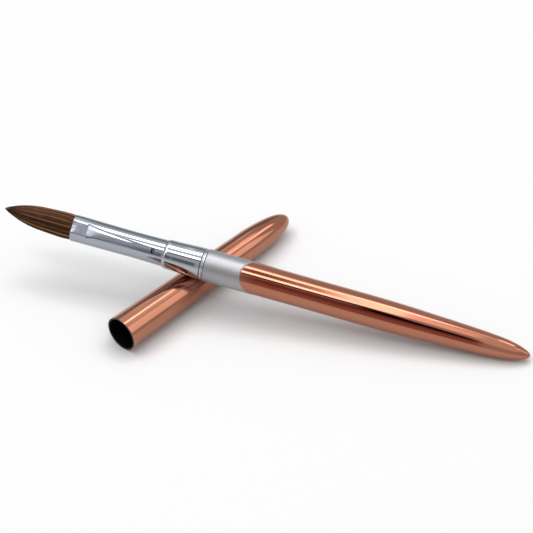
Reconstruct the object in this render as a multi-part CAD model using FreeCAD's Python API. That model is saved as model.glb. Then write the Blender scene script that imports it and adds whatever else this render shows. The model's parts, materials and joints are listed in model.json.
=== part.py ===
import FreeCAD, Part
import math
import os

# A brush for acrylic nails, lying at rest across its own loose cap.
# Millimetres and degrees, +Z up. The origin is on the table, under the middle of the pair.
#
# Brush and cap are turned work, so each is drawn about its own axis, which is X here.
# A "station" is a distance along that axis, from the tip of the hair or from the mouth
# of the cap. Z is the upper side once the piece is laid down, and -Y is its front side.

V = FreeCAD.Vector

# ---- Brush: driving dimensions ----
BRUSH_LENGTH = 184.6
FERRULE_MOUTH = 25.0          # the hair stands this far out of the metal
FERRULE_MOUTH_RADIUS = 4.6
FERRULE_SLOPE = (34.8, 4.51)  # station and radius on the way to the narrowest place ...
FERRULE_WAIST = (48.9, 4.44)  # ... and there
FERRULE_TAIL_RADIUS = 4.62    # the straight end that the neck sleeve is pressed over
FERRULE_END = 61.3
FERRULE_WALL = 0.3
CRIMP_STEP = 30.4             # where the edge of the crimping tool bit into the ferrule
CRIMP_END = 53.9
SLEEVE_FRONT = 57.6
SHOULDER_END = 59.1           # the sleeve's rounded front reaches its full radius here
SLEEVE_RADIUS = 5.07
FLARE_FRONT = 61.5            # the sleeve flares gently from here ...
FLARE_END = 69.5              # ... to here, and then runs straight up to the ring
FLARE_RADIUS = 5.46
RING_FRONT = 70.7
COLLAR_FRONT = 72.1
COLLAR_RADIUS = 5.5
JOINT_STATION = 89.3          # the slanted seam of collar and handle crosses the axis here
JOINT_SLANT = 41.0            # degrees off a square cut
HANDLE_FRONT_RADIUS = 5.42
GRIP_FRONT = 100.4            # the handle is a true cylinder from here ...
GRIP_END = 131.2              # ... to here
GRIP_RADIUS = 5.36
HANDLE_WALL = 0.6
HANDLE_BORE = 4.7
CORE_FRONT = 74.5
CORE_END = 135.0
ROD_RADIUS = 3.2
ROD_END = 113.0
EDGE_BREAK = 0.2              # chamfer of turned edges; two of them make each fine groove

# Heights above the axis of the flat bottoms that the crimping tool left
BAND_HEIGHT = 4.0             # shallow flat between the rim and the step
DENT = [                      # the dent climbs from the step to the rear: station, height
    (CRIMP_STEP, 3.72),
    (34.5, 4.06),
    (43.0, 4.24),
    (CRIMP_END, 4.38),
]

# The crimp, and the short side of the slanted seam, look to the front and this much upwards
CRIMP_RISE = 45.0
SLANT_RISE = 47.0

# ---- Hair: it bends as a whole about the mouth of the ferrule ----
HAIR_RADIUS = 4.44
BALL_RADIUS = 3.5             # the root end of the bending hair is a ball about that point
BALL_GAP = 0.1
NECK_ANGLE = 64.0             # the ball ends here, counted off the axis, to clear the rim
ROOT_FRONT = FERRULE_MOUTH + 1.0
ROOT_END = 42.6
GLUE_END = 46.6
THREAD_FRONT = 34.0
THREAD_RADIUS = 0.28
THREAD_PITCH = 0.5
THREAD_TURNS = 5
THREAD_WAIST = 2.85           # radius of the hair where the thread ties it

# ---- Cap: driving dimensions ----
CAP_LENGTH = 81.6
CAP_MOUTH_RADIUS = 6.15
CAP_CONE_END = 64.0
CAP_CONE_END_RADIUS = 5.21
CAP_WALL = 0.35
LIP = 0.15                    # the liner's thin lip covers the cut edge of the shell
LIP_RADIUS = 6.1
MOUTH_CHAMFER = 0.18          # the mouth of the liner leads in with this chamfer
# The liner's bores, from the mouth inwards: (station where it ends, radius)
GRIP_BORE = (12.0, 5.55)      # slides over the collar
THROAT_BORE = (21.0, 5.2)     # takes the neck sleeve
CHAMBER_BORE = (58.0, 4.7)    # takes the ferrule; the hair ends in the nose of the shell

# ---- How the two lie ----
CROSS_ANGLE = 62.3            # between the two axes, seen from above
BRUSH_CROSS = 66.64           # station of the brush above the crossing
CAP_CROSS = 33.4              # station of the cap under the crossing
REST_TILT = 7.1               # the brush runs down to its tail, which touches the table
TAIL_GAP = 0.05

FAR = 20.0                    # reach of cutting blocks, larger than any radius here
TINY = 1e-6


# ---- Turned outlines ----

def edge_through(points):
    """One edge of an outline: straight through two points, a smooth curve through more."""
    places = [V(station, 0, radius) for station, radius in points]
    if len(places) == 2:
        return Part.LineSegment(*places).toShape()
    curve = Part.BSplineCurve()
    curve.interpolate(places)
    return curve.toShape()


def turned(*runs):
    """The solid that an outline sweeps about X. A gap between two runs closes straight."""
    edges = []
    for index, points in enumerate(runs):
        edges.append(edge_through(points))
        end = points[-1]
        start = runs[(index + 1) % len(runs)][0]
        if math.dist(end, start) > TINY:
            edges.append(edge_through([end, start]))
    return Part.Face(Part.Wire(edges)).revolve(V(0, 0, 0), V(1, 0, 0), 360)


def rod(front, end, radius):
    return Part.makeCylinder(radius, end - front, V(front, 0, 0), V(1, 0, 0))


def inset(points, wall):
    """An outline moved inwards by a wall. A point on the axis moves along it."""
    moved = []
    for index, (station, radius) in enumerate(points):
        if radius < TINY:
            moved.append((station - wall, 0.0))
            continue
        before = points[max(index - 1, 0)]
        after = points[min(index + 1, len(points) - 1)]
        length = math.dist(before, after)
        outwards = ((before[1] - after[1]) / length, (after[0] - before[0]) / length)
        moved.append((station - wall * outwards[0], radius - wall * outwards[1]))
    return moved


def slab(front, end, low=-FAR, high=FAR):
    """A block between two stations and two heights, wider than any piece."""
    return Part.makeBox(end - front, 2 * FAR, high - low, V(front, -FAR, low))


def prism(outline):
    """A closed outline of stations and heights, drawn out across any piece."""
    corners = [V(station, -FAR, height) for station, height in outline + outline[:1]]
    return Part.Face(Part.makePolygon(corners)).extrude(V(0, 2 * FAR, 0))


def turned_to(rise, shape):
    """A shape made facing +Z, turned about X to face the front side at this rise."""
    aimed = shape.copy()
    aimed.rotate(V(0, 0, 0), V(1, 0, 0), 90.0 - rise)
    return aimed


# ---- Ferrule and what it holds ----

def crimp_cutters(inwards):
    """The metal that the crimp pressed away on both sides, deeper by a wall for the inside."""
    band = slab(FERRULE_MOUTH - 1, CRIMP_STEP, BAND_HEIGHT - inwards, FAR)
    step = CRIMP_STEP - inwards
    bottom = [(step, DENT[0][1] - inwards)]
    bottom += [(station, height - inwards) for station, height in DENT[1:]]
    dent = prism(bottom + [(CRIMP_END, FAR), (step, FAR)])
    near_side = turned_to(CRIMP_RISE, band.fuse(dent))
    far_side = near_side.copy()
    far_side.rotate(V(0, 0, 0), V(1, 0, 0), 180)
    return near_side.fuse(far_side)


def ferrule_body(inwards):
    """The crimped tube as if it were solid, with its surface moved inwards."""
    tail_radius = FERRULE_TAIL_RADIUS - inwards
    outline = [
        (FERRULE_MOUTH, FERRULE_MOUTH_RADIUS - inwards),
        (FERRULE_SLOPE[0], FERRULE_SLOPE[1] - inwards),
        (FERRULE_WAIST[0], FERRULE_WAIST[1] - inwards),
        (SLEEVE_FRONT - 0.6, tail_radius),
    ]
    straight = [outline[-1], (FERRULE_END, tail_radius)]
    axis = [(FERRULE_END, 0.0), (FERRULE_MOUTH, 0.0)]
    return turned(outline, straight, axis).cut(crimp_cutters(inwards))


def ferrule():
    return ferrule_body(0).cut(ferrule_body(FERRULE_WALL))


def inside_ferrule(front, end):
    return ferrule_body(FERRULE_WALL).common(slab(front, end))


def bend_ball(radius):
    return Part.makeSphere(radius, V(FERRULE_MOUTH, 0, 0))


def hair_tuft():
    """The free hair: a pointed belly, and a ball at its root that turns in the hair below."""
    neck = math.radians(NECK_ANGLE)
    neck_station = FERRULE_MOUTH - BALL_RADIUS * math.cos(neck)
    neck_radius = BALL_RADIUS * math.sin(neck)
    belly_end = FERRULE_MOUTH - HAIR_RADIUS / math.tan(neck)
    belly = [(0.0, 0.0), (1.0, 0.6), (3.0, 1.52), (6.0, 2.64), (11.0, 3.74), (17.0, 4.22)]
    belly.append((belly_end, HAIR_RADIUS))
    free_hair = turned(belly, [(neck_station, neck_radius), (neck_station, 0.0)])
    return free_hair.fuse(bend_ball(BALL_RADIUS)).removeSplitter()


def thread_groove():
    length = THREAD_PITCH * (THREAD_TURNS - 1) + 2 * THREAD_RADIUS
    ring = rod(THREAD_FRONT, THREAD_FRONT + length, FAR)
    return ring.cut(rod(THREAD_FRONT, THREAD_FRONT + length, THREAD_WAIST))


def hair_root():
    """The hair inside the ferrule, hollowed for the ball and tied in by the thread."""
    bundle = inside_ferrule(ROOT_FRONT, ROOT_END)
    return bundle.cut(bend_ball(BALL_RADIUS + BALL_GAP)).cut(thread_groove())


def tie_thread():
    turns = []
    for turn in range(THREAD_TURNS):
        station = THREAD_FRONT + THREAD_RADIUS + turn * THREAD_PITCH
        middle = THREAD_WAIST + THREAD_RADIUS
        turns.append(Part.makeTorus(middle, THREAD_RADIUS, V(station, 0, 0), V(1, 0, 0)))
    return turns[0].multiFuse(turns[1:])


def root_glue():
    return inside_ferrule(ROOT_END, GLUE_END)


def core_rod():
    """The spindle: its thick front end is held by the crimp, its shank carries the rest."""
    return inside_ferrule(GLUE_END, FERRULE_END).fuse(rod(FERRULE_END, ROD_END, ROD_RADIUS))


# ---- Neck and collar ----

def neck_sleeve():
    """Polished sleeve over the tail of the ferrule, flared up to the ring."""
    front = [
        (SLEEVE_FRONT, FERRULE_TAIL_RADIUS + 0.05),
        (SLEEVE_FRONT + 0.3, FERRULE_TAIL_RADIUS + 0.17),
        (SLEEVE_FRONT + 0.75, SLEEVE_RADIUS - 0.1),
        (SHOULDER_END, SLEEVE_RADIUS),
    ]
    middle = [front[-1], (FLARE_FRONT, SLEEVE_RADIUS)]
    flare = [
        middle[-1],
        ((FLARE_FRONT + FLARE_END) / 2, (SLEEVE_RADIUS + FLARE_RADIUS) / 2),
        (FLARE_END, FLARE_RADIUS),
    ]
    straight = [flare[-1], (RING_FRONT - EDGE_BREAK, FLARE_RADIUS)]
    rear = [straight[-1], (RING_FRONT, FLARE_RADIUS - EDGE_BREAK)]
    tail_bore = rod(SLEEVE_FRONT, FERRULE_END, FERRULE_TAIL_RADIUS)
    bores = tail_bore.fuse(rod(FERRULE_END, RING_FRONT, ROD_RADIUS))
    axis = [(RING_FRONT, 0.0), (SLEEVE_FRONT, 0.0)]
    return turned(front, middle, flare, straight, rear, axis).cut(bores)


def neck_ring():
    """Narrow bright bead between sleeve and collar, with a fine groove on each side of it."""
    top = COLLAR_RADIUS - 0.02
    edge = top - 1.5 * EDGE_BREAK
    shoulder = top - 0.4 * EDGE_BREAK
    middle = (RING_FRONT + COLLAR_FRONT) / 2
    crown = [
        (RING_FRONT, edge),
        (RING_FRONT + EDGE_BREAK, shoulder),
        (middle, top),
        (COLLAR_FRONT - EDGE_BREAK, shoulder),
        (COLLAR_FRONT, edge),
    ]
    bore = [(COLLAR_FRONT, ROD_RADIUS), (RING_FRONT, ROD_RADIUS)]
    return turned(crown, bore)


def slanted_space():
    """All that lies on the handle's side of the slanted seam, whose short side is at +Z."""
    lean = FAR * math.tan(math.radians(JOINT_SLANT))
    end = BRUSH_LENGTH + FAR
    outline = [(JOINT_STATION - lean, FAR), (JOINT_STATION + lean, -FAR), (end, -FAR), (end, FAR)]
    return turned_to(SLANT_RISE, prism(outline))


def collar():
    """Satin collar: square at the ring, cut on a slant where it meets the handle."""
    rear = JOINT_STATION + 2 * COLLAR_RADIUS
    outside = [(COLLAR_FRONT + EDGE_BREAK, COLLAR_RADIUS), (rear, COLLAR_RADIUS)]
    inside = [(rear, HANDLE_BORE), (CORE_FRONT, HANDLE_BORE)]
    throat = [(CORE_FRONT, ROD_RADIUS), (COLLAR_FRONT, ROD_RADIUS)]
    front = [(COLLAR_FRONT, COLLAR_RADIUS - EDGE_BREAK), outside[0]]
    tube = turned(outside, inside, throat, front).cut(slanted_space())
    rim = max(
        (edge for edge in tube.Edges if edge.Length > 2 * math.pi * COLLAR_RADIUS + 1),
        key=lambda edge: edge.Length,
    )
    return tube.makeChamfer(EDGE_BREAK, [rim])


# ---- Handle ----

TAPER = [
    (GRIP_END, GRIP_RADIUS),
    (140.0, 5.22),
    (151.8, 4.79),
    (163.6, 4.31),
    (172.8, 3.73),
    (178.7, 2.92),
    (182.6, 1.7),
    (BRUSH_LENGTH, 0.0),
]


def handle_shell():
    """Drawn metal handle, closed at its pointed tail."""
    seam = JOINT_STATION - 2 * COLLAR_RADIUS
    front = [(seam, HANDLE_FRONT_RADIUS), (JOINT_STATION, HANDLE_FRONT_RADIUS)]
    slope = [front[-1], (GRIP_FRONT, GRIP_RADIUS)]
    grip = [slope[-1], TAPER[0]]
    full = turned(front, slope, grip, TAPER, [TAPER[-1], (seam, 0.0)])
    hollow = [(CORE_END, HANDLE_BORE)] + inset(TAPER, HANDLE_WALL)[1:]
    cavity = turned([(seam, HANDLE_BORE), hollow[0]], hollow, [hollow[-1], (seam, 0.0)])
    return full.cut(cavity).common(slanted_space())


def handle_core():
    """Plastic core that fills the bores of collar and handle and grips the spindle."""
    return rod(CORE_FRONT, CORE_END, HANDLE_BORE).cut(rod(CORE_FRONT, ROD_END, ROD_RADIUS))


# ---- Cap ----

CAP_NOSE = [
    (CAP_CONE_END, CAP_CONE_END_RADIUS),
    (70.0, 4.73),
    (75.5, 3.88),
    (79.5, 2.55),
    (CAP_LENGTH, 0.0),
]


def cap_body(inwards):
    """The cap as if it were solid, with its surface moved inwards."""
    nose = inset(CAP_NOSE, inwards)
    cone = [(0.0, CAP_MOUTH_RADIUS - inwards), nose[0]]
    return turned(cone, nose, [nose[-1], (0.0, 0.0)])


def cap_shell():
    return cap_body(0).cut(cap_body(CAP_WALL)).cut(slab(-1, LIP))


def cap_liner():
    """Black sleeve in the cap: a thin lip over the rim, and bores that step down inwards."""
    sleeve = cap_body(CAP_WALL).common(slab(LIP, CHAMBER_BORE[0])).fuse(rod(0, LIP, LIP_RADIUS))
    mouth = GRIP_BORE[1]
    lead_in = Part.makeCone(mouth + MOUTH_CHAMFER, mouth, MOUTH_CHAMFER, V(0, 0, 0), V(1, 0, 0))
    sleeve = sleeve.cut(lead_in)
    front = 0.0
    for end, radius in (GRIP_BORE, THROAT_BORE, CHAMBER_BORE):
        sleeve = sleeve.cut(rod(front, end, radius))
        front = end
    return sleeve


# ---- Laying the two down ----

def lowest(shape):
    return shape.optimalBoundingBox(False, False).ZMin


BRUSH_NODES = {
    "ferrule": ferrule,
    "hair_root": hair_root,
    "tie_thread": tie_thread,
    "root_glue": root_glue,
    "core_rod": core_rod,
    "neck_sleeve": neck_sleeve,
    "neck_ring": neck_ring,
    "collar": collar,
    "handle_core": handle_core,
    "handle_shell": handle_shell,
    "hair_tuft": hair_tuft,
}
CAP_NODES = {"cap_shell": cap_shell, "cap_liner": cap_liner}


def lay(makers, rotation, crossing, clearance):
    """Make the pieces, turn them, and stand them on the table with one station over X = Y = 0."""
    shift = rotation.multVec(V(-crossing, 0, 0))
    shapes = {}
    for name, make in makers.items():
        shape = make()
        shape.Placement = FreeCAD.Placement(shift, rotation)
        shapes[name] = shape
    drop = clearance - min(lowest(shape) for shape in shapes.values())
    for shape in shapes.values():
        shape.translate(V(0, 0, drop))
    return shapes


cone_slope = (CAP_MOUTH_RADIUS - CAP_CONE_END_RADIUS) / CAP_CONE_END
cap_turn = FreeCAD.Rotation(0, math.degrees(math.atan(cone_slope)), 0)
brush_turn = FreeCAD.Rotation(-CROSS_ANGLE, REST_TILT, 0)
pieces = lay(CAP_NODES, cap_turn, CAP_CROSS, 0.0)
pieces.update(lay(BRUSH_NODES, brush_turn, BRUSH_CROSS, TAIL_GAP))

footprint = Part.makeCompound(list(pieces.values())).optimalBoundingBox(False, False)
to_middle = V(-footprint.Center.x, -footprint.Center.y, 0)

os.makedirs("parts", exist_ok=True)
for name, shape in pieces.items():
    shape.translate(to_middle)
    shape.exportStep(f"parts/{name}.step")
    solids = len(shape.Solids)
    print(f"{name:14s} solids {solids} valid {shape.isValid()} volume {shape.Volume:9.2f} mm3")
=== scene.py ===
import json
import math
import random

import bmesh
import bpy
import numpy as np
from mathutils import Matrix, Vector


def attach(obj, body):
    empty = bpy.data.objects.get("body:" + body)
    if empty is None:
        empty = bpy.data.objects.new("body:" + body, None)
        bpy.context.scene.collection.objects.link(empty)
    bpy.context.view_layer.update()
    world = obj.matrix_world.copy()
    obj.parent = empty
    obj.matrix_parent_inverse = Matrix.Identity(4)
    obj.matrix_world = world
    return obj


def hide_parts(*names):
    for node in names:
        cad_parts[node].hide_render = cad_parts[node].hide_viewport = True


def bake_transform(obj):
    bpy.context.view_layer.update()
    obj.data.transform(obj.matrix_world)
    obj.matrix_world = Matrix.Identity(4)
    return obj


# The looks of an acrylic nail brush that lies across its own loose cap.
# Outlines are in millimetres, in the frame of the turned piece: a "station" is a distance
# along its axis, from the tip of the hair or from the mouth of the cap.
# A "rise" is an angle about the axis: 0 looks to the front side, 90 straight up.

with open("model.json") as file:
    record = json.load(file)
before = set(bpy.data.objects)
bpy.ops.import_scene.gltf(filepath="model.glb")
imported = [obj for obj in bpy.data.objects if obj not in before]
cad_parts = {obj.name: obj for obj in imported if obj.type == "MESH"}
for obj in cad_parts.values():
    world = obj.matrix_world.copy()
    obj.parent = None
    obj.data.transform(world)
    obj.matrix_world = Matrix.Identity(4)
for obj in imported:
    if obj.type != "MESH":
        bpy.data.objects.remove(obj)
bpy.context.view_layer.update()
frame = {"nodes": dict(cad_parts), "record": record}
record = frame["record"]
MM = 0.001

# ---- Sizes, in millimetres, as in the CAD model ----
BRUSH_LENGTH = 184.6
FERRULE_MOUTH = 25.0
FERRULE_MOUTH_RADIUS = 4.6
FERRULE_TAIL_RADIUS = 4.62
FERRULE_END = 61.3
FERRULE_WALL = 0.3
CRIMP_STEP = 30.4
CRIMP_END = 53.9
CRIMP_RISE = 45.0
SLEEVE_FRONT = 57.6
SLEEVE_RADIUS = 5.07
SLEEVE_BORE = 4.64          # where the sleeve goes over the ferrule
SPINDLE_BORE = 3.25         # where sleeve and ring go over the spindle
FLARE_FRONT = 61.5
FLARE_END = 69.5
FLARE_RADIUS = 5.46
RING_FRONT = 70.7
COLLAR_FRONT = 72.1
COLLAR_RADIUS = 5.5
COLLAR_BORE = 4.72
JOINT_STATION = 89.3
JOINT_SLANT = 41.0          # degrees off square, of the seam between collar and handle
SLANT_RISE = 47.0           # the rise of the collar's short side
HANDLE_BORE = 4.7
BRUSH_CROSS = 66.64         # the station that lies over the cap
GRIP_FRONT = 100.4
GRIP_END = 131.2
GRIP_RADIUS = 5.36
HAIR_RADIUS = 4.44
CAP_LENGTH = 81.6
CAP_WALL = 0.35
CAP_LIP = 0.15              # thickness of the liner's lip, over the cut edge of the shell
CAP_FRONT_RADIUS = 6.148
LIP_RADIUS = 6.1
LINER_FRONT_RADIUS = 5.78   # the liner's outside is a plain cone
LINER_REAR_RADIUS = 4.94
MOUTH_CHAMFER = 0.18
# The bores of the cap's liner, from the mouth inwards: where each ends, and its radius
BORES = [(12.0, 5.55), (21.0, 5.2), (58.0, 4.7)]

TURN_STEPS = 160            # facets round a turned piece
SHELL_STEPS = 192           # the same for the two mirror-finished shells
FERRULE_STEPS = 320
CORNER_STEPS = 5            # facets along the rounding of an edge

# Middles of the stretches that the record's round mounts name
GRIP_MIDDLE = (GRIP_FRONT + GRIP_END) / 2
MOUTH_MIDDLE = (MOUTH_CHAMFER + BORES[0][0]) / 2

SLANT = math.tan(math.radians(JOINT_SLANT))


# ---- The two axes, from the record's mounts ----

def mount(name):
    return next(m for m in record["mounts"] if m["name"] == name)


def lying_frame(origin, along):
    """X along the axis, Z its upper side: the frame in which a piece is drawn."""
    x = Vector(along).normalized()
    z = (Vector((0, 0, 1)) - x * x.z).normalized()
    y = z.cross(x)
    turn = Matrix((x, y, z)).transposed().to_4x4()
    return Matrix.Translation(origin) @ turn


def axis_frames():
    grip, mouth = mount("handle_grip"), mount("cap_mouth")
    tailwards = Vector(grip["axis"]).normalized()
    inwards = -Vector(mouth["axis"]).normalized()
    brush = lying_frame(Vector(grip["pos_m"]) - tailwards * GRIP_MIDDLE * MM, tailwards)
    cap = lying_frame(Vector(mouth["pos_m"]) - inwards * MOUTH_MIDDLE * MM, inwards)
    return brush, cap


BRUSH, CAP = axis_frames()


def crossing_point():
    """The point on the table where the two axes cross, seen from above."""
    b, c = BRUSH.translation, CAP.translation
    u, v = BRUSH.col[0], CAP.col[0]
    along = ((c.x - b.x) * v.y - (c.y - b.y) * v.x) / (u.x * v.y - u.y * v.x)
    return Vector((b.x + u.x * along, b.y + u.y * along, 0.0))


# ---- Camera ----

VIEW_AZIMUTH = -47.0
VIEW_ELEVATION = 42.99
VIEW_DISTANCE = 0.68633
VIEW_LENS = 135.09
VIEW_RIGHT = 0.02558        # the aim is this far right of and above the crossing
VIEW_UP = 0.01034


def camera_frame():
    a, e = math.radians(VIEW_AZIMUTH), math.radians(VIEW_ELEVATION)
    back = Vector((math.sin(a) * math.cos(e), -math.cos(a) * math.cos(e), math.sin(e)))
    right = Vector((math.cos(a), math.sin(a), 0))
    return right, back.cross(right), back


def make_camera():
    right, up, back = camera_frame()
    data = bpy.data.cameras.new("camera")
    data.lens = VIEW_LENS
    data.sensor_width = 36.0
    data.clip_start, data.clip_end = 0.05, 20.0
    camera = bpy.data.objects.new("camera", data)
    bpy.context.scene.collection.objects.link(camera)
    place = crossing_point() + back * VIEW_DISTANCE + right * VIEW_RIGHT + up * VIEW_UP
    turn = Matrix((right, up, back)).transposed().to_4x4()
    camera.matrix_world = Matrix.Translation(place) @ turn
    bpy.context.scene.camera = camera


# ---- Outlines ----

def smooth_run(points, spacing, nose=False):
    """A smooth curve through a few points of an outline, as points about this far apart.
    With a nose, the last point is on the axis, and the curve rounds it off."""
    kept = len(points) - 1
    if nose:
        points = points + [(station, -radius) for station, radius in points[-2::-1]]
    p = np.array(points, float)
    u = np.concatenate([[0.0], np.cumsum(np.linalg.norm(np.diff(p, axis=0), axis=1))])
    gap = np.diff(u)
    count = len(u)
    system, bend = np.eye(count), np.zeros((count, 2))
    for i in range(1, count - 1):
        system[i, i - 1:i + 2] = gap[i - 1], 2 * (gap[i - 1] + gap[i]), gap[i]
        bend[i] = 6 * ((p[i + 1] - p[i]) / gap[i] - (p[i] - p[i - 1]) / gap[i - 1])
    curve = np.linalg.solve(system, bend)
    run = []
    for s in np.linspace(0, u[kept], max(2, int(round(u[kept] / spacing)) + 1)):
        i = min(int(np.searchsorted(u, s, side="right")) - 1, count - 2)
        h, a, b = gap[i], u[i + 1] - s, s - u[i]
        place = (curve[i] * a ** 3 + curve[i + 1] * b ** 3) / (6 * h)
        place = place + (p[i] / h - curve[i] * h / 6) * a
        place = place + (p[i + 1] / h - curve[i + 1] * h / 6) * b
        run.append((float(place[0]), float(place[1])))
    if nose:
        run[-1] = (points[kept][0], 0.0)
    return run


def radius_along(run):
    """The radius of an outline as a function of the station."""
    stations, radii = zip(*run)
    return lambda station: float(np.interp(station, stations, radii))


def clamped(share):
    return min(1.0, max(0.0, share))


def rounded(before, corner, after, radius):
    """A corner of an outline as a small curve, with a support point on each side of it that
    keeps the shading of the flat parts flat. Before and after only give directions."""
    c = np.array(corner, float)
    sides = [np.array(point, float) - c for point in (before, after)]
    sides = [side / np.linalg.norm(side) for side in sides]
    start, end = (c + side * radius for side in sides)
    support = 1.8 * radius
    points = [c + sides[0] * support]
    for k in range(CORNER_STEPS + 1):
        t = k / CORNER_STEPS
        points.append((1 - t) ** 2 * start + 2 * t * (1 - t) * c + t ** 2 * end)
    points.append(c + sides[1] * support)
    return [(float(point[0]), float(point[1])) for point in points]


def straight(front, end, spacing):
    """Points along a straight stretch of an outline, without its two ends."""
    count = max(1, int(abs(end[0] - front[0]) / spacing))
    a, b = np.array(front, float), np.array(end, float)
    return [tuple((a + (b - a) * k / count).tolist()) for k in range(1, count)]


# ---- Meshes ----

def new_piece(name, vertices, faces, place):
    """A smooth-shaded mesh from points in millimetres, with its faces looking outwards."""
    mesh = bpy.data.meshes.new(name)
    mesh.from_pydata([(x * MM, y * MM, z * MM) for x, y, z in vertices], [], faces)
    shell = bmesh.new()
    shell.from_mesh(mesh)
    bmesh.ops.recalc_face_normals(shell, faces=shell.faces)
    shell.to_mesh(mesh)
    shell.free()
    mesh.transform(place)
    mesh.shade_smooth()
    piece = bpy.data.objects.new(name, mesh)
    bpy.context.scene.collection.objects.link(piece)
    return piece


def turned(name, outline, place, shape=None, steps=TURN_STEPS):
    """A piece turned about X from a closed outline. An outline that starts or ends on the
    axis is closed there. shape(station, radius, rise) may move a point."""
    vertices, rings, faces = [], [], []
    for station, radius in outline:
        if radius < 1e-6:
            rings.append([len(vertices)])
            vertices.append((station, 0.0, 0.0))
            continue
        rings.append(list(range(len(vertices), len(vertices) + steps)))
        for k in range(steps):
            rise = 2 * math.pi * k / steps
            s, r = shape(station, radius, rise) if shape else (station, radius)
            vertices.append((s, -r * math.cos(rise), r * math.sin(rise)))
    pairs = list(zip(rings, rings[1:]))
    if len(rings[0]) > 1 and len(rings[-1]) > 1:
        pairs.append((rings[-1], rings[0]))
    for a, b in pairs:
        if len(a) == 1 and len(b) == 1:
            continue
        for k in range(steps):
            n = (k + 1) % steps
            if len(a) == 1:
                faces.append((a[0], b[k], b[n]))
            elif len(b) == 1:
                faces.append((a[k], b[0], a[n]))
            else:
                faces.append((a[k], b[k], b[n], a[n]))
    return new_piece(name, vertices, faces, place)


# ---- Materials ----

def new_material(name, colour, metallic, roughness):
    material = bpy.data.materials.new(name)
    material.use_nodes = True
    shader = material.node_tree.nodes["Principled BSDF"]
    shader.inputs["Base Color"].default_value = (*colour, 1.0)
    shader.inputs["Metallic"].default_value = metallic
    shader.inputs["Roughness"].default_value = roughness
    return material, shader


def add_node(material, kind, **values):
    """A node with some inputs set, by the input's name with spaces as underscores."""
    node = material.node_tree.nodes.new(kind)
    for key, value in values.items():
        node.inputs[key.replace("_", " ")].default_value = value
    return node


def join(material, output, target):
    material.node_tree.links.new(output, target)


def object_point(material, scale):
    """The point in the frame of its axis, in metres, stretched by a scale per direction."""
    place = material.node_tree.nodes.new("ShaderNodeTexCoord")
    lying = CAP if material.name in CAP_MATERIALS else BRUSH
    turn = add_node(material, "ShaderNodeMapping", Rotation=lying.to_3x3().inverted().to_euler())
    stretch = add_node(material, "ShaderNodeMapping", Scale=scale)
    join(material, place.outputs["Object"], turn.inputs["Vector"])
    join(material, turn.outputs["Vector"], stretch.inputs["Vector"])
    return stretch.outputs["Vector"]


def noise(material, scale, detail=3.0):
    grain = add_node(material, "ShaderNodeTexNoise", Scale=1.0, Detail=detail, Roughness=0.5)
    join(material, object_point(material, scale), grain.inputs["Vector"])
    return grain.outputs["Fac"]


def remapped(material, value, given, wanted):
    """A value turned from one span into another."""
    reach = add_node(
        material, "ShaderNodeMapRange",
        From_Min=given[0], From_Max=given[1], To_Min=wanted[0], To_Max=wanted[1],
    )
    join(material, value, reach.inputs["Value"])
    return reach.outputs["Result"]


def tint(material, shader, value, dark, light):
    """Colours the shader between two tints, by a noise value, and returns the tinted output."""
    ramp = material.node_tree.nodes.new("ShaderNodeValToRGB")
    for element, position, colour in zip(ramp.color_ramp.elements, TINT_SPAN, (dark, light)):
        element.position = position
        element.color = (*colour, 1.0)
    join(material, value, ramp.inputs["Fac"])
    join(material, ramp.outputs["Color"], shader.inputs["Base Color"])
    return ramp.outputs["Color"]


def relief(material, shader, value, depth):
    """A bump whose full height is this many metres."""
    bump = add_node(material, "ShaderNodeBump", Strength=1.0, Distance=depth)
    join(material, value, bump.inputs["Height"])
    join(material, bump.outputs["Normal"], shader.inputs["Normal"])


# Names of the materials whose texture lies along the cap, and not along the brush
CAP_MATERIALS = ("rose_gold_drawn", "black_plastic")

# Spans in which most values of a noise lie: for a number, and for a tint
NOISE_SPAN = (0.25, 0.75)
TINT_SPAN = (0.3, 0.7)

# Values of the ferrule's "pressed" attribute: where the tool pressed, and in its deep bite, whose
# bottom gets painted shade
PRESSED, SHADED_BITE = 1.0, 2.0

# Noise scales, as features per metre along the axis, and across it both ways
SOFT_CLOUDS = (60.0, 90.0, 90.0)
TURNING_LINES = (5200.0, 40.0, 40.0)
DRAWN_LINES = (60.0, 4200.0, 4200.0)
FINE_GRAIN = (3200.0, 3200.0, 3200.0)
PRESS_LINES = (3400.0, 700.0, 700.0)
CORE_PIN_RINGS = (1100.0, 10.0, 10.0)
THREAD_TWIST = (2600.0, 900.0, 900.0)


def rose_gold():
    """Polished and anodised, with the faint clouds of a mirror finish that has been handled."""
    material, shader = new_material("rose_gold_mirror", (0.47, 0.19, 0.125), 1.0, 0.09)
    clouds = noise(material, SOFT_CLOUDS)
    tint(material, shader, clouds, (0.46, 0.183, 0.118), (0.485, 0.2, 0.134))
    join(material, remapped(material, clouds, NOISE_SPAN, (0.07, 0.12)), shader.inputs["Roughness"])
    relief(material, shader, noise(material, TURNING_LINES, 2.0), 0.0000006)
    return material


def rose_gold_cap():
    """The same finish on the drawn shell of the cap, whose mirror is a little softer."""
    material, shader = new_material("rose_gold_drawn", (0.47, 0.19, 0.125), 1.0, 0.16)
    clouds = noise(material, SOFT_CLOUDS)
    tint(material, shader, clouds, (0.445, 0.188, 0.118), (0.475, 0.206, 0.134))
    join(material, remapped(material, clouds, NOISE_SPAN, (0.11, 0.15)), shader.inputs["Roughness"])
    relief(material, shader, noise(material, TURNING_LINES, 2.0), 0.0000008)
    return material


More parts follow.
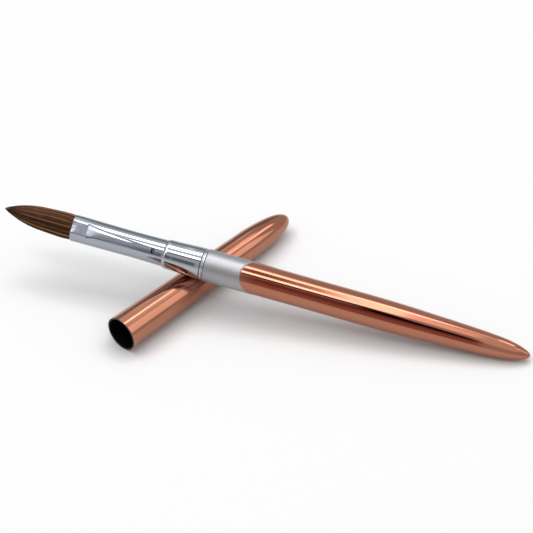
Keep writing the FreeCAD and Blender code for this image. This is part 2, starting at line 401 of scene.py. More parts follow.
def chrome():
    """Bright plated tube. Where the crimping tool pressed it, it is duller and has fine cross
    lines, and the bottom of the tool's bite has painted shade: its colour and reflection go near
    black."""
    material, shader = new_material("chrome_plate", (0.45, 0.47, 0.52), 1.0, 0.08)
    attribute = material.node_tree.nodes.new("ShaderNodeAttribute")
    attribute.attribute_name = "pressed"
    pressed = attribute.outputs["Fac"]
    dullness = remapped(material, pressed, (0.0, PRESSED), (0.07, 0.22))
    join(material, dullness, shader.inputs["Roughness"])
    clouds = noise(material, SOFT_CLOUDS)
    plating = tint(material, shader, clouds, (0.415, 0.435, 0.5), (0.445, 0.465, 0.525))
    # Painted shade: in the bottom of the tool's bite, colour and reflection fall to near black
    shade = remapped(material, pressed, (PRESSED, SHADED_BITE), (1.0, 0.06))
    shaded = material.node_tree.nodes.new("ShaderNodeVectorMath")
    shaded.operation = "SCALE"
    join(material, plating, shaded.inputs["Vector"])
    join(material, shade, shaded.inputs["Scale"])
    join(material, shaded.outputs["Vector"], shader.inputs["Base Color"])
    join(material, shade, shader.inputs["Specular Tint"])
    lines = material.node_tree.nodes.new("ShaderNodeMath")
    lines.operation = "MULTIPLY"
    join(material, noise(material, PRESS_LINES), lines.inputs[0])
    join(material, pressed, lines.inputs[1])
    relief(material, shader, lines.outputs["Value"], 0.00003)
    return material


def polished_sleeve():
    """Turned and plated, for the sleeve and the ring."""
    material, shader = new_material("chrome_sleeve", (0.46, 0.48, 0.52), 1.0, 0.07)
    clouds = noise(material, SOFT_CLOUDS)
    tint(material, shader, clouds, (0.45, 0.47, 0.515), (0.48, 0.5, 0.54))
    relief(material, shader, noise(material, TURNING_LINES, 2.0), 0.0000005)
    return material


def satin_alloy():
    """Blasted and turned satin metal."""
    material, shader = new_material("satin_alloy", (0.42, 0.42, 0.44), 1.0, 0.47)
    lines = noise(material, TURNING_LINES, 4.0)
    tint(material, shader, lines, (0.405, 0.406, 0.424), (0.437, 0.438, 0.457))
    join(material, remapped(material, lines, NOISE_SPAN, (0.44, 0.51)), shader.inputs["Roughness"])
    relief(material, shader, noise(material, FINE_GRAIN), 0.000004)
    return material


def black_plastic():
    """Moulded liner, with faint rings left by its core pin."""
    material, shader = new_material("black_plastic", (0.004, 0.0035, 0.0035), 0.0, 0.3)
    grain = noise(material, FINE_GRAIN, 2.0)
    tint(material, shader, grain, (0.003, 0.0025, 0.0025), (0.006, 0.005, 0.005))
    shader.inputs["Specular IOR Level"].default_value = 0.34
    relief(material, shader, noise(material, CORE_PIN_RINGS, 1.0), 0.0001)
    return material


def hair():
    """Single hairs, each in the colour of its own points."""
    material, shader = new_material("sable_hair", (0.1, 0.05, 0.025), 0.0, 0.42)
    tone = material.node_tree.nodes.new("ShaderNodeAttribute")
    tone.attribute_name = "hair_tone"
    join(material, tone.outputs["Color"], shader.inputs["Base Color"])
    shader.inputs["Specular IOR Level"].default_value = 0.12
    return material


def hair_inside():
    """Packed hair, for the heart of the tuft and for its root."""
    material, shader = new_material("sable_hair_inside", (0.03, 0.015, 0.008), 0.0, 0.7)
    strands = noise(material, DRAWN_LINES, 2.0)
    tint(material, shader, strands, (0.02, 0.01, 0.005), (0.07, 0.035, 0.018))
    relief(material, shader, strands, 0.00006)
    return material


def spindle_alloy():
    material, shader = new_material("turned_alloy", (0.6, 0.6, 0.58), 1.0, 0.3)
    lines = noise(material, TURNING_LINES)
    tint(material, shader, lines, (0.55, 0.55, 0.53), (0.64, 0.64, 0.62))
    relief(material, shader, lines, 0.000003)
    return material


def core_plastic():
    material, shader = new_material("core_plastic", (0.5, 0.49, 0.46), 0.0, 0.45)
    tint(material, shader, noise(material, SOFT_CLOUDS), (0.45, 0.44, 0.41), (0.55, 0.54, 0.51))
    relief(material, shader, noise(material, FINE_GRAIN, 2.0), 0.000005)
    return material


def waxed_thread():
    material, shader = new_material("waxed_thread", (0.62, 0.58, 0.48), 0.0, 0.6)
    twist = noise(material, THREAD_TWIST, 2.0)
    tint(material, shader, twist, (0.5, 0.46, 0.37), (0.7, 0.66, 0.56))
    relief(material, shader, twist, 0.00005)
    return material


def root_resin():
    material, shader = new_material("root_resin", (0.35, 0.2, 0.06), 0.0, 0.25)
    tint(material, shader, noise(material, SOFT_CLOUDS), (0.28, 0.15, 0.04), (0.4, 0.24, 0.08))
    relief(material, shader, noise(material, FINE_GRAIN, 2.0), 0.000006)
    return material


MATERIALS = {
    "rose_gold": rose_gold(),
    "rose_gold_cap": rose_gold_cap(),
    "chrome_plate": chrome(),
    "sleeve": polished_sleeve(),
    "satin_alloy": satin_alloy(),
    "black_plastic": black_plastic(),
    "hair": hair(),
    "hair_inside": hair_inside(),
    "spindle_alloy": spindle_alloy(),
    "core_plastic": core_plastic(),
    "thread": waxed_thread(),
    "glue": root_resin(),
}


def finish_piece(piece, material, slot, body, *nodes):
    """Gives a piece its material, the CAD nodes it stands for, and a body to ride on. The slot is
    not used.
    A piece without a body is attached to none."""
    piece.data.materials.append(MATERIALS[material])
    if nodes:
        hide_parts(*nodes)
    if body:
        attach(piece, body)
    return piece


# ---- Ferrule ----

# The crimp's middle wanders a little round the tube, from the step to its thin end
CRIMP_TURN_FRONT = 5.0
CRIMP_TURN_REAR = -6.0
# The crimp along the tube: station, half of its angle round the tube in degrees, and how
# deep its middle is pressed. Deeper than a flat of that angle, it is scooped.
CRIMP_PATH = [
    (FERRULE_MOUTH, 29.0, 0.74), (26.4, 29.5, 0.58), (CRIMP_STEP - 0.1, 30.0, 0.58),
    (CRIMP_STEP + 0.1, 35.5, 0.8), (31.4, 32.5, 0.66), (32.8, 27.5, 0.44), (35.0, 23.5, 0.25),
    (38.5, 20.5, 0.17), (43.0, 18.0, 0.13),
    (CRIMP_END, 14.5, 0.09), (55.2, 13.0, 0.08),
    (SLEEVE_FRONT, 12.0, 0.07), (FERRULE_END, 11.0, 0.07),
]
SOFT_EDGE = 0.12             # share of the crimp's half angle over which its edge is rounded
# The bite of the tool, across the end of the crimp, and the painted shade at its bottom
NOTCH_DEPTH = 0.3
NOTCH_HALF_LENGTH = 0.3
NOTCH_HALF_ANGLE = 12.5
BITE_SHADE_HALF_LENGTH = 0.58
# A fold along the crimp's upper edge: how deep, where it has faded out, over what length,
# and from where to where it lies across the crimp, in shares of the half angle
FOLD_DEPTH = 0.115
FOLD_END = 52.0
FOLD_FADE = 8.0
FOLD_FROM, FOLD_BOTTOM, FOLD_TO = 0.15, 0.8, 1.0
# The rim's fine pleats: how deep, and how far from the mouth they have faded out. Two waves
# with this many turns each round the tube make them uneven.
PLEAT_DEPTH = 0.035
PLEATS_END = 2.2
FINE_WAVE, COARSE_WAVE = 31, 17
DULL_DEPTH = 0.15            # metal that is pressed in this far is as dull as it gets

ferrule_run = smooth_run([
    (FERRULE_MOUTH, FERRULE_MOUTH_RADIUS), (34.8, 4.51), (48.9, 4.44),
    (SLEEVE_FRONT - 0.6, FERRULE_TAIL_RADIUS),
], 0.25)
ferrule_tail = (FERRULE_END, FERRULE_TAIL_RADIUS)
ferrule_run += straight(ferrule_run[-1], ferrule_tail, 0.4) + [ferrule_tail]
ferrule_radius = radius_along(ferrule_run)


def crimp_at(station):
    """Half angle in radians and depth of the crimp at a station."""
    stations, angles, depths = zip(*CRIMP_PATH)
    angle, depth = np.interp(station, stations, angles), np.interp(station, stations, depths)
    return math.radians(angle), float(depth)


def crimp_middle(station):
    """The rise of the crimp's middle."""
    share = clamped((station - CRIMP_STEP) / (CRIMP_END - CRIMP_STEP))
    turn = CRIMP_TURN_FRONT + (CRIMP_TURN_REAR - CRIMP_TURN_FRONT) * share
    return math.radians(CRIMP_RISE + turn)


def off_crimp(station, rise):
    """The angle from the middle of the nearer of the two crimped sides."""
    off = rise - crimp_middle(station)
    return (off + math.pi / 2) % math.pi - math.pi / 2


def soft_dish(share):
    """Nearly 1 in the middle of the crimp, 0 beyond its edge, with the edge rounded off."""
    dish = 1 - share * share
    return max(0.0, (dish + math.hypot(dish, SOFT_EDGE)) / 2 - SOFT_EDGE / 2)


def fold_share(station, share):
    """1 at the bottom of the fold, which is steep on its upper side and gentle on its lower."""
    if station < CRIMP_STEP or not FOLD_FROM < share < FOLD_TO:
        return 0.0
    if share > FOLD_BOTTOM:
        across = (FOLD_TO - share) / (FOLD_TO - FOLD_BOTTOM)
    else:
        across = (share - FOLD_FROM) / (FOLD_BOTTOM - FOLD_FROM)
    return across * across * (3 - 2 * across) * clamped((FOLD_END - station) / FOLD_FADE)


def crimped(station, radius, rise):
    """The tube with both sides of the crimp pressed in."""
    off = off_crimp(station, rise)
    half, depth = crimp_at(station)
    dish = soft_dish(off / half)
    sunk = depth * dish + FOLD_DEPTH * fold_share(station, off / half)
    notch = max(0.0, 1 - (math.degrees(off) / NOTCH_HALF_ANGLE) ** 4)
    sunk += NOTCH_DEPTH * notch * math.exp(-((station - CRIMP_END) / NOTCH_HALF_LENGTH) ** 4)
    pleated = dish * max(0.0, 1 - (station - FERRULE_MOUTH) / PLEATS_END)
    sunk += PLEAT_DEPTH * pleated * (1 + math.sin(FINE_WAVE * off) * math.cos(COARSE_WAVE * off + 1))
    return station, radius - sunk


def close_stations(middle, spacing, before, after):
    """Extra stations about a sharp change in shape."""
    return {round(middle + spacing * k, 4) for k in range(-before, after + 1)}


def pressed_and_bite_shade(x, y, z):
    """The "pressed" attribute of a point of the ferrule, in millimetres: how far the tool pressed
    it, and the painted shade in its bite.
    """
    off = abs(math.degrees(off_crimp(x, math.atan2(z, -y))))
    # The bottom of the tool's bite gets painted shade
    if abs(x - CRIMP_END) < BITE_SHADE_HALF_LENGTH and off < NOTCH_HALF_ANGLE:
        return SHADED_BITE
    return PRESSED * clamped((ferrule_radius(x) - math.hypot(y, z)) / DULL_DEPTH)


def ferrule():
    stations = {round(s, 4) for s, _ in ferrule_run}
    stations |= close_stations(CRIMP_STEP, 0.04, 6, 8) | close_stations(CRIMP_END, 0.06, 12, 12)
    outside = [(s, ferrule_radius(s)) for s in sorted(stations) if s > FERRULE_MOUTH + 0.3]
    mouth_outer = (FERRULE_MOUTH, FERRULE_MOUTH_RADIUS)
    mouth_inner = (FERRULE_MOUTH, FERRULE_MOUTH_RADIUS - FERRULE_WALL)
    stations_inside = (FERRULE_END, 50.0, 40.0, 33.0, CRIMP_STEP + 0.2, CRIMP_STEP - 0.2, 27.0)
    inside = [(s, ferrule_radius(s) - FERRULE_WALL) for s in stations_inside]
    rim = rounded(inside[-1], mouth_inner, mouth_outer, 0.1)
    rim += rounded(mouth_inner, mouth_outer, outside[0], 0.13)
    piece = turned("ferrule_tube", rim + outside + inside, BRUSH, crimped, FERRULE_STEPS)
    pressed = piece.data.attributes.new("pressed", "FLOAT", "POINT")
    to_axis = BRUSH.inverted()
    places = [to_axis @ vertex.co / MM for vertex in piece.data.vertices]
    pressed.data.foreach_set("value", [pressed_and_bite_shade(*place) for place in places])
    return finish_piece(piece, "chrome_plate", "chrome_plate", "brush", "ferrule")


# ---- Neck, collar and handle ----

def neck_sleeve():
    """Polished sleeve: a rounded shoulder at its front, and a flare up to the ring."""
    rear = (RING_FRONT, FLARE_RADIUS)
    shoulder = smooth_run([
        (SLEEVE_FRONT, FERRULE_TAIL_RADIUS + 0.03),
        (SLEEVE_FRONT + 0.3, FERRULE_TAIL_RADIUS + 0.17),
        (SLEEVE_FRONT + 0.75, SLEEVE_RADIUS - 0.1),
        (SLEEVE_FRONT + 1.5, SLEEVE_RADIUS),
    ], 0.08)
    flare = smooth_run([
        (FLARE_FRONT - 0.5, SLEEVE_RADIUS),
        ((FLARE_FRONT + FLARE_END) / 2, (SLEEVE_RADIUS + FLARE_RADIUS) / 2),
        (FLARE_END, FLARE_RADIUS - 0.01),
        (FLARE_END + 0.7, FLARE_RADIUS),
    ], 0.25)
    outline = shoulder + straight(shoulder[-1], flare[0], 1.0) + flare
    outline += rounded(flare[-1], rear, (RING_FRONT, SPINDLE_BORE), 0.16)
    outline += [(RING_FRONT, SPINDLE_BORE), (FERRULE_END, SPINDLE_BORE)]
    outline += [(FERRULE_END, SLEEVE_BORE), (SLEEVE_FRONT, SLEEVE_BORE)]
    piece = turned("neck_sleeve_turned", outline, BRUSH)
    return finish_piece(piece, "sleeve", "chrome_plate", "brush", "neck_sleeve")


def neck_ring():
    """A narrow polished bead with a groove along its crown."""
    top = COLLAR_RADIUS - 0.02
    crown = smooth_run([
        (RING_FRONT, top - 0.5),
        (RING_FRONT + 0.2, top - 0.1),
        (RING_FRONT + 0.5, top),
        (RING_FRONT + 0.82, top - 0.12),
        (RING_FRONT + 1.05, top - 0.07),
        (COLLAR_FRONT - 0.12, top - 0.2),
        (COLLAR_FRONT, top - 0.5),
    ], 0.04)
    bore = [(COLLAR_FRONT, SPINDLE_BORE), (RING_FRONT, SPINDLE_BORE)]
    piece = turned("neck_ring_turned", crown + bore, BRUSH)
    return finish_piece(piece, "sleeve", "chrome_plate", "brush", "neck_ring")


def seam_lead(radius, rise):
    """How far before its middle the slanted seam crosses the surface at this rise."""
    return radius * SLANT * math.cos(rise - math.radians(SLANT_RISE))


def collar():
    """Satin collar: square at its front, and cut on a slant at the handle."""
    front, rear = (COLLAR_FRONT, COLLAR_RADIUS), (JOINT_STATION, COLLAR_RADIUS)
    bend = COLLAR_FRONT + 2.0

    def slanted(station, radius, rise):
        share = max(0.0, (station - bend) / (JOINT_STATION - bend))
        return station - seam_lead(radius, rise) * share, radius

    bore = [(JOINT_STATION, COLLAR_BORE), (bend, COLLAR_BORE), (COLLAR_FRONT, COLLAR_BORE)]
    outline = rounded(bore[-1], front, rear, 0.2)
    outline += straight((bend, COLLAR_RADIUS), rear, 0.8)
    outline += rounded(front, rear, bore[0], 0.35) + bore
    piece = turned("collar_satin", outline, BRUSH, slanted)
    return finish_piece(piece, "satin_alloy", "satin_alloy", "brush", "collar")


# The handle from under the collar to its tail, and its hollow from the tail forwards
HANDLE_OUTLINE = [
    (70.0, 5.42), (80.0, 5.42), (JOINT_STATION, 5.42), (GRIP_FRONT, GRIP_RADIUS),
    (115.0, GRIP_RADIUS), (GRIP_END, GRIP_RADIUS), (140.0, 5.22), (151.8, 4.79),
    (163.6, 4.31), (172.8, 3.73), (178.7, 2.92), (182.6, 1.72), (184.25, 0.7), (BRUSH_LENGTH, 0.0),
]
HANDLE_HOLLOW = [
    (BRUSH_LENGTH - 1.0, 0.0), (178.0, 2.2), (163.0, 3.7), (134.0, HANDLE_BORE),
    (JOINT_STATION, HANDLE_BORE),
]


def handle():
    """Mirror-finished handle, cut on the same slant as the collar at its front."""
    run = smooth_run(HANDLE_OUTLINE, 0.4, nose=True)
    surface = radius_along(run)

    def slanted(station, radius, rise):
        share = max(0.0, (GRIP_FRONT - station) / (GRIP_FRONT - JOINT_STATION))
        if share == 0.0:
            return station, radius
        moved = station - seam_lead(radius, rise) * share
        return moved, radius + surface(moved) - surface(station)

    seam = (JOINT_STATION, surface(JOINT_STATION))
    outline = rounded(HANDLE_HOLLOW[-1], seam, (JOINT_STATION + 2, seam[1]), 0.13)
    outline += [point for point in run if point[0] > JOINT_STATION + 0.4]
    piece = turned("handle_mirror", outline + HANDLE_HOLLOW, BRUSH, slanted, SHELL_STEPS)
    return finish_piece(piece, "rose_gold", "rose_gold", "brush", "handle_shell")


# ---- Cap ----

# The rear of the cap, from the end of its plain cone to its nose
CAP_OUTLINE = [
    (48.0, 5.445), (56.0, 5.3275), (64.0, 5.21), (70.0, 4.73), (75.5, 3.88), (79.5, 2.55),
    (81.15, 1.2), (CAP_LENGTH, 0.0),
]


def cap_shell():
    """Drawn shell: a plain cone from its cut edge, and a blunt closed nose."""
    front, front_inside = (CAP_LIP, CAP_FRONT_RADIUS), (CAP_LIP, CAP_FRONT_RADIUS - CAP_WALL)
    nose = smooth_run(CAP_OUTLINE, 0.4, nose=True)
    past_edge = (CAP_LIP + 0.5, CAP_FRONT_RADIUS - 0.007)      # on the cone
    outline = rounded(front_inside, front, nose[0], 0.09) + straight(past_edge, nose[0], 1.6) + nose
    outline += [(CAP_LENGTH - CAP_WALL, 0.0)]
    outline += [(s, r - CAP_WALL) for s, r in reversed(CAP_OUTLINE[:-2])] + [front_inside]
    piece = turned("cap_mirror", outline, CAP, steps=SHELL_STEPS)
    return finish_piece(piece, "rose_gold_cap", "rose_gold", "cap", "cap_shell")


def cap_liner():
    """Black sleeve: a thin lip over the cut edge, and bores that step down inwards."""
    mouth = BORES[0][1] + MOUTH_CHAMFER
    outline = rounded((CAP_LIP, LIP_RADIUS), (0.0, LIP_RADIUS), (0.0, mouth), 0.07)
    outline += rounded((0.0, LIP_RADIUS), (0.0, mouth), (MOUTH_CHAMFER, BORES[0][1]), 0.04)
    front, before = MOUTH_CHAMFER, mouth
    for end, radius in BORES:
        outline += rounded((front, before), (front, radius), (end, radius), 0.08)
        outline += straight((front + 0.3, radius), (end - 0.3, radius), 2.5)
        if end < BORES[-1][0]:
            outline += rounded((front, radius), (end, radius), (end, radius - 0.1), 0.04)
        front, before = end, radius
    outline += [(front, before), (front, LINER_REAR_RADIUS)]
    outline += [(CAP_LIP, LINER_FRONT_RADIUS), (CAP_LIP, LIP_RADIUS)]
    piece = turned("cap_liner_moulded", outline, CAP)
    return finish_piece(piece, "black_plastic", "black_plastic", "cap", "cap_liner")


# ---- Hair ----

STRANDS = 2200
STRAND_POINTS = 15
STRAND_SIDES = 3
STRAND_RADII = (0.05, 0.085)
STRAND_TAPER = 0.75          # share of its radius that a hair loses towards its tip
STRAND_EASE = 1.3            # above 1, a hair's points lie closer together near its tip
STRAND_DRIFT = 0.05          # radians that a hair strays round the axis on its way to the tip
STRAND_WAVES = (0.01, 0.03)  # radians that it waves from side to side
STRAND_PHASE = 7             # radians of that wave from root to tip
STRAND_BURIED = 0.1          # share of the radius that the deepest hair lies under the surface
NEAREST_AXIS = 0.02          # a hair's middle comes no nearer to the axis
TIP_SCATTER = 1.6            # how far behind the tip locks end, and hairs within a lock
LOCKS = 30
LOCK_LIFT = 0.0175           # share of the radius that a lock stands proud or lies low
LIFT_LENGTH = 3.0            # of the free hair, over which a lock gets its lift
# Painted shade in the creases where locks meet
BORDER_SHADE = 0.6           # how much darker in tone a lock is at its borders
ROOT_STATION = 27.2          # where the single hairs start, inside the ferrule
HAIR_SPREAD = 0.45           # how fast pressed hair widens again, out of the crimped rim
HAIR_SPREAD_FRONT = 0.25     # how far outside the rim it starts to widen
HAIR_GAP = 0.06              # between the hair and the inside of the metal
BELLY = [
    (0.0, 0.0), (1.0, 0.6), (3.0, 1.52), (6.0, 2.64), (9.0, 3.38), (11.0, 3.74), (14.0, 4.04),
    (17.0, 4.22), (22.0, HAIR_RADIUS), (25.0, 4.36),
]
# Hair colours, for tones from 0 over BROWN_TONE to 1
HAIR_DARK = (0.022, 0.009, 0.005)
HAIR_BROWN = (0.17, 0.073, 0.037)
HAIR_GOLD = (0.4, 0.21, 0.06)
BROWN_TONE = 0.55
LOCK_WEIGHT, OWN_WEIGHT = 0.75, 0.25
# The tip is darker: how light its end is, and over what length it lightens
TIP_LIGHT = 0.3
TIP_FRONT, TIP_LENGTH = 0.5, 7.0

belly_radius = radius_along(smooth_run(BELLY + [(28.0, 4.2)], 0.2))


def hair_limit(station, rise):
    """The largest radius that hair can have here: its own belly, and inside the metal its bore."""
    _, outside = crimped(max(station, FERRULE_MOUTH), FERRULE_MOUTH_RADIUS, rise)
    spreading = HAIR_SPREAD * max(0.0, FERRULE_MOUTH - HAIR_SPREAD_FRONT - station)
    return min(belly_radius(station), outside - FERRULE_WALL - HAIR_GAP + spreading)


def strand_colour(lock_tone, own_tone, station):
    tone = clamped(LOCK_WEIGHT * lock_tone + OWN_WEIGHT * own_tone)
    if tone < BROWN_TONE:
        low, high, share = HAIR_DARK, HAIR_BROWN, tone / BROWN_TONE
    else:
        low, high, share = HAIR_BROWN, HAIR_GOLD, (tone - BROWN_TONE) / (1 - BROWN_TONE)
    tip_shade = TIP_LIGHT + (1 - TIP_LIGHT) * clamped((station - TIP_FRONT) / TIP_LENGTH)
    return [(a + (b - a) * share) * tip_shade for a, b in zip(low, high)] + [1.0]


def draw_locks(draw):
    """Tone, lift and tip station of each lock. Light and dark locks take turns."""
    locks = []
    for lock in range(LOCKS):
        tone = 0.5 * (lock % 2) + 0.6 * draw.random()
        locks.append((tone, draw.uniform(-LOCK_LIFT, LOCK_LIFT), draw.uniform(0.0, TIP_SCATTER)))
    return locks


def strand_faces(first):
    """The faces of one closed strand, whose points start at this index."""
    faces = []
    for back in range(first, first + STRAND_SIDES * (STRAND_POINTS - 1), STRAND_SIDES):
        here = back + STRAND_SIDES
        for corner in range(STRAND_SIDES):
            n = (corner + 1) % STRAND_SIDES
            faces.append((back + corner, here + corner, here + n, back + n))
    last = first + STRAND_SIDES * (STRAND_POINTS - 1)
    return faces + [(first, first + 1, first + 2), (last, last + 2, last + 1)]


def strand_ring(station, rise, middle, thick):
    """The points round one place of a hair, whose middle is this far from the axis."""
    ring = []
    for corner in range(STRAND_SIDES):
        a = 2 * math.pi * corner / STRAND_SIDES
        outwards, sideways = thick * math.cos(a), thick * math.sin(a)
        r, sweep = middle + outwards, rise + sideways / max(middle, 0.3)
        ring.append((station, -r * math.cos(sweep), r * math.sin(sweep)))
    return ring


def hair_strands():
    """The outer hairs, one by one, in locks that run together at the tip."""
    draw = random.Random(7)
    locks = draw_locks(draw)
    vertices, faces, colours = [], [], []
    for i in range(STRANDS):
        turn = (i + draw.random()) / STRANDS
        lock_tone, lock_lift, lock_tip = locks[int(turn * LOCKS) % LOCKS]
        from_middle = abs(2 * (turn * LOCKS % 1.0) - 1)
        # Painted shade towards the lock's borders, where it meets the next lock
        lock_tone -= BORDER_SHADE * from_middle ** 3
        root_rise = 2 * math.pi * turn
        drift = draw.gauss(0.0, STRAND_DRIFT)
        wave, wave_start = draw.uniform(*STRAND_WAVES), draw.uniform(0, 2 * math.pi)
        buried = draw.random() ** 1.5 * STRAND_BURIED
        tip = lock_tip + abs(draw.gauss(0.0, TIP_SCATTER))
        root_radius = draw.uniform(*STRAND_RADII)
        own_tone = draw.random()
        faces += strand_faces(len(vertices))
        for k in range(STRAND_POINTS):
            u = k / (STRAND_POINTS - 1)
            station = ROOT_STATION + (tip - ROOT_STATION) * (1 - (1 - u) ** STRAND_EASE)
            rise = root_rise + drift * u + wave * math.sin(wave_start + STRAND_PHASE * u)
            lift = lock_lift * clamped((FERRULE_MOUTH - station) / LIFT_LENGTH)
            thick = root_radius * (1 - STRAND_TAPER * u ** 3)
            middle = max(NEAREST_AXIS, hair_limit(station, rise) * (1 - buried + lift) - thick)
            vertices += strand_ring(station, rise, middle, thick)
            colours += [strand_colour(lock_tone, own_tone, station)] * STRAND_SIDES
    piece = new_piece("hair_strands", vertices, faces, BRUSH)
    tone = piece.data.attributes.new("hair_tone", "FLOAT_COLOR", "POINT")
    tone.data.foreach_set("color", [c for colour in colours for c in colour])
    return finish_piece(piece, "hair", "hair", None, "hair_tuft")


def hair_heart():
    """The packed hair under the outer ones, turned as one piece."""
    run = smooth_run([
        (1.8, 0.0), (3.6, 1.35), (7.0, 2.5), (12.0, 3.45), (17.0, 3.8), (22.0, 3.95), (24.6, 3.66),
    ], 0.5)
    piece = turned("hair_heart", [*run, (26.8, 3.5), (26.8, 0.0)], BRUSH, steps=96)
    return finish_piece(piece, "hair_inside", "hair", None)


def bend_with_tuft(piece):
    """Bakes the hair's place into its mesh; it does not turn with the tuft."""
    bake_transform(piece)


# ---- Pieces that stay as the CAD made them ----

KEPT_NODES = {
    "hair_root": "hair_inside",
    "tie_thread": "thread",
    "root_glue": "glue",
    "core_rod": "spindle_alloy",
    "handle_core": "core_plastic",
}


def finish_kept_nodes():
    for name, material in KEPT_NODES.items():
        node = frame["nodes"][name]
        for place in node.material_slots:
            place.material = MATERIALS[material]


# ---- Studio ----

# Radiance of the pale walls all round, and the least that makes a panel a softbox
WALL = 0.62
CARD_LIMIT = 0.9
WALL_COLOUR = (0.97, 0.985, 1.0)
WHITE = (1.0, 1.0, 1.0)
TEAL_GREY = (0.86, 0.95, 1.0)
MAROON = (1.0, 0.52, 0.48)
DUSKY = (1.0, 0.6, 0.55)
# Distances in metres: of strips from the brush's axis, and of the floor's sides from its middle
FAR, NEAR, LOW = 1.3, 0.72, 0.9
FLOOR_REACH = 6.0
# Tone curve on linear light: in, out
TONES = [(0.0, 0.0), (0.035, 0.031), (0.2, 0.2), (0.6, 0.6), (0.74, 0.8), (0.86, 0.975), (1.0, 1.0)]


def studio(x, y, z):
    """X to the right of the view, Y away from it, Z up; metres from the crossing on the table."""
    right, _, back = camera_frame()
    away = Vector((-back.x, -back.y, 0)).normalized()
    return crossing_point() + right * x + away * y + Vector((0, 0, z))


def about_brush(x, rise, distance):
    """A place this far tailwards of the crossing and away from the brush's axis, at this rise.
    All points of a station and its mirror images share one X here, so strips lie along it."""
    a = math.radians(rise)
    return BRUSH @ Vector((BRUSH_CROSS * MM + x, -math.cos(a) * distance, math.sin(a) * distance))


def plain_light(name, colour, strength):
    material = bpy.data.materials.new(name)
    material.use_nodes = True
    tree = material.node_tree
    tree.nodes.clear()
    out = tree.nodes.new("ShaderNodeOutputMaterial")
    glow = tree.nodes.new("ShaderNodeEmission")
    glow.inputs["Color"].default_value = (*colour, 1.0)
    glow.inputs["Strength"].default_value = strength
    tree.links.new(glow.outputs["Emission"], out.inputs["Surface"])
    return material


def panel(name, corners, strength, colour=WHITE):
    """A flat softbox or card through four corners. Metal mirrors them all, but only a softbox
    reaches matt surfaces too."""
    mesh = bpy.data.meshes.new(name)
    mesh.from_pydata(corners, [], [(0, 1, 2, 3)])
    piece = bpy.data.objects.new(name, mesh)
    bpy.context.scene.collection.objects.link(piece)
    piece.visible_camera = False
    piece.visible_diffuse = strength > CARD_LIMIT
    piece.data.materials.append(plain_light(name, colour, strength))


def floor():
    mesh = bpy.data.meshes.new("floor")
    signs = ((-1, -1), (1, -1), (1, 1), (-1, 1))
    mesh.from_pydata([(x * FLOOR_REACH, y * FLOOR_REACH, 0) for x, y in signs], [], [(0, 1, 2, 3)])
    piece = bpy.data.objects.new("floor", mesh)
    bpy.context.scene.collection.objects.link(piece)
    material, _ = new_material("pale_floor", (0.7, 0.7, 0.7), 0.0, 0.9)
    piece.data.materials.append(material)


def strip(name, distance, left, right, rises, strength, colour=WHITE, right_rises=None):
    """A panel round the brush's axis: left and right ends, and low and high rise at each."""
    low, high = rises
    right_low, right_high = right_rises or rises
    corners = [
        about_brush(left, low, distance), about_brush(right, right_low, distance),
        about_brush(right, right_high, distance), about_brush(left, high, distance),
    ]
    panel(name, corners, strength, colour)


def light_walls():
    world = bpy.data.worlds.new("studio")
    bpy.context.scene.world = world
    world.use_nodes = True
    background = world.node_tree.nodes["Background"]
    background.inputs["Color"].default_value = (*WALL_COLOUR, 1.0)
    background.inputs["Strength"].default_value = WALL


def light_left():
    """What hair, ferrule and sleeve mirror."""
    strip("softbox_left", FAR, -1.3, -0.5, (76, 121), 2.6)
    strip("softbox_upper_left", FAR, -0.9, -0.275, (117, 150), 1.1)
    strip("left_fill", FAR, -1.6, -0.85, (28, 76), 1.8)
    strip("left_fill_near", FAR, -0.85, -0.42, (49, 76), 1.8)
    strip("left_low_card", FAR, -0.85, -0.42, (10, 50), 0.12, TEAL_GREY)
    strip("softbox_near_left", FAR, -0.5, -0.15, (64, 79), 3.8)
    strip("softbox_far_left", FAR, -0.5, -0.15, (96, 118), 3.8)
    strip("sleeve_gap", FAR, -0.5, -0.15, (79, 96), 0.8)


def light_middle():
    """Two bands of light along the front of the handle, and the dark gap between them."""
    strip("softbox_near", FAR, -0.15, -0.035, (65, 79), 4.2)
    strip("softbox_far", FAR, -0.15, -0.035, (105, 121), 4.2)
    strip("handle_gap", FAR, -0.15, -0.06, (78, 103), 0.3, DUSKY)
    strip("softbox_near_edge", FAR, -0.5, -0.035, (55, 62), 0.12)
    strip("gap_end", FAR, -0.06, -0.035, (78, 103), 1.6)
    strip("softbox_middle", FAR, -0.035, 0.1, (66, 118), 3.4, right_rises=(70, 112))


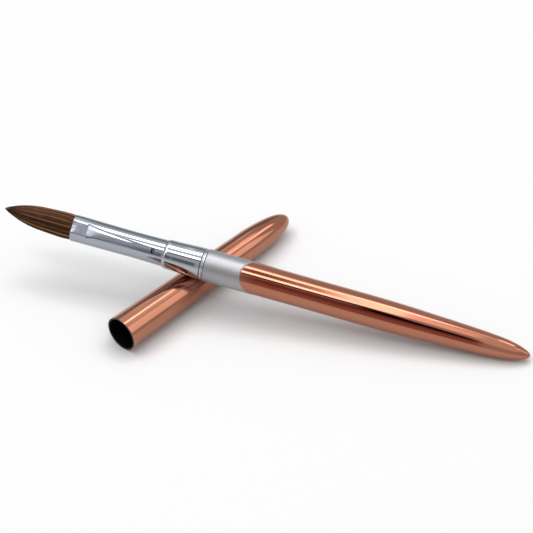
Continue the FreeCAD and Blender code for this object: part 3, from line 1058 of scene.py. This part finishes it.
def light_tail():
    """The fading end of the handle's band, and the softer light on its tail."""
    strip("softbox_dim", FAR, 0.1, 0.24, (74, 108), 1.5)
    strip("softbox_streak", FAR, -0.03, 0.16, (110, 125), 4.4)
    strip("streak_end", FAR, 0.14, 0.27, (118, 126), 1.9)
    strip("softbox_tail", FAR, 0.3, 0.6, (114, 134), 2.7)
    strip("tail_fill", FAR, 0.23, 0.9, (45, 102), 0.95)
    strip("softbox_halo", FAR, -0.275, 0.14, (118, 131), 1.0)
    strip("right_fill", FAR, 0.14, 0.68, (100, 118), 1.0)


def hang_cards():
    """Cards that darken reflections: far at the back left, close to the line of sight for the
    dark line along the handle, and low in front for the lower flanks."""
    strip("back_left_card", FAR, -1.3, -0.15, (150, 178), 0.34, TEAL_GREY)
    strip("camera_card", NEAR, -0.065, 0.02, (55, 63), 0.0)
    strip("camera_card_wide", NEAR, 0.02, 0.19, (42, 64), 0.0, right_rises=(38, 53))
    strip("low_card_far_left", LOW, -0.45, -0.175, (9, 34), 0.2, TEAL_GREY)
    strip("low_card_left", LOW, -0.175, -0.085, (9, 32), 0.55, TEAL_GREY)
    strip("low_card_upper", LOW, -0.085, 0.21, (27, 50), 0.24, MAROON)
    strip("low_card_lower", LOW, -0.085, 0.21, (5, 27), 0.42, MAROON)


def light_right():
    """Two leaning softboxes at the right, for the bands along the cap."""
    for name, low, high, strength in (("side_low", 0.28, 0.6, 1.5), ("side_high", 0.63, 1.1, 1.6)):
        corners = [(0.9, -0.25, low), (0.9, 0.16, low), (0.85, 0.16, high), (0.85, -0.25, high)]
        panel(name, [studio(*corner) for corner in corners], strength)


def set_tones():
    """A printed look: deeper darks, and the pale table close to white."""
    settings = bpy.context.scene.view_settings
    settings.view_transform = "Standard"
    settings.use_curve_mapping = True
    curve = settings.curve_mapping.curves[3]      # the one for all colours together
    for x, y in TONES[1:-1]:
        curve.points.new(x, y)
    curve.points[0].location, curve.points[-1].location = TONES[0], TONES[-1]
    settings.curve_mapping.update()


# ---- Make everything ----

make_camera()
ferrule()
neck_sleeve()
neck_ring()
collar()
handle()
cap_shell()
cap_liner()
for hair_piece in (hair_strands(), hair_heart()):
    bend_with_tuft(hair_piece)
finish_kept_nodes()
floor()
light_walls()
light_left()
light_middle()
light_tail()
hang_cards()
light_right()
set_tones()
bpy.context.scene.cycles.use_denoising = True
